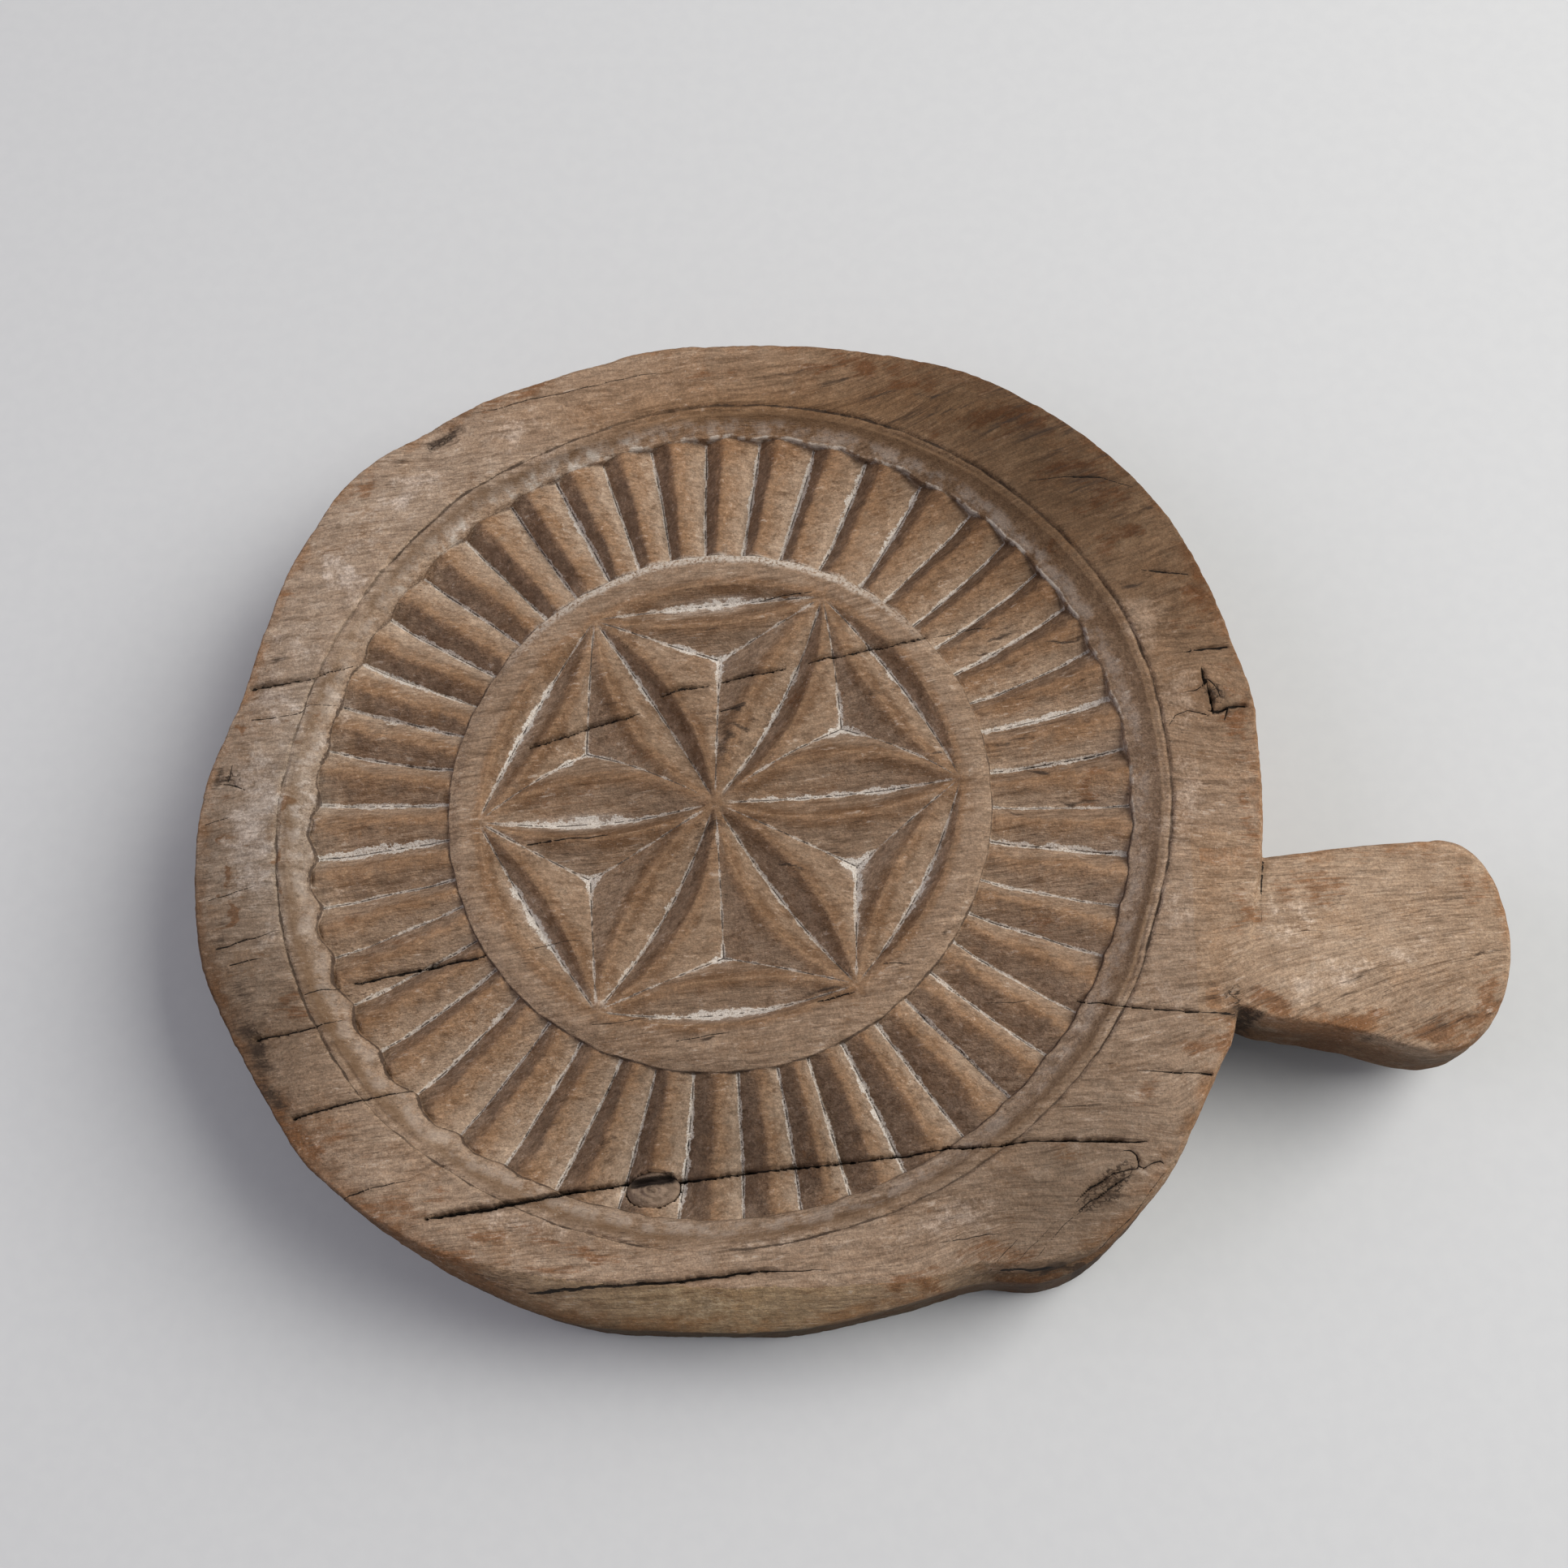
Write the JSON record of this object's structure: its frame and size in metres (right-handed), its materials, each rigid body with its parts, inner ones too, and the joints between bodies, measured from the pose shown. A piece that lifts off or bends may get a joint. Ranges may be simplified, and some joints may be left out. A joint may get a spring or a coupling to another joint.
{
  "type": "butter mold",
  "caption": "Round hand-carved wooden butter mould with a fluted ring, a six-petalled rosette in a shallow recess and a stub handle.",
  "frame": {"origin": "centre of the rosette projected on the flat back face", "axes": "+Z out of the carved face, +X towards the handle, +Y across the mould; the handle lies to the -Y side"},
  "size_m": [0.3283, 0.2629, 0.04],
  "materials": {
    "weathered_wood": "dry weathered hardwood, grey-brown, worn orange-brown on the crests, chalky in the valleys, open drying checks",
    "knot_wood": "dark dead knot, dry and cracked end grain"
  },
  "bodies": {
    "root": {"mould_block": "weathered_wood", "dead_knot": "knot_wood"}
  },
  "joints": []
}
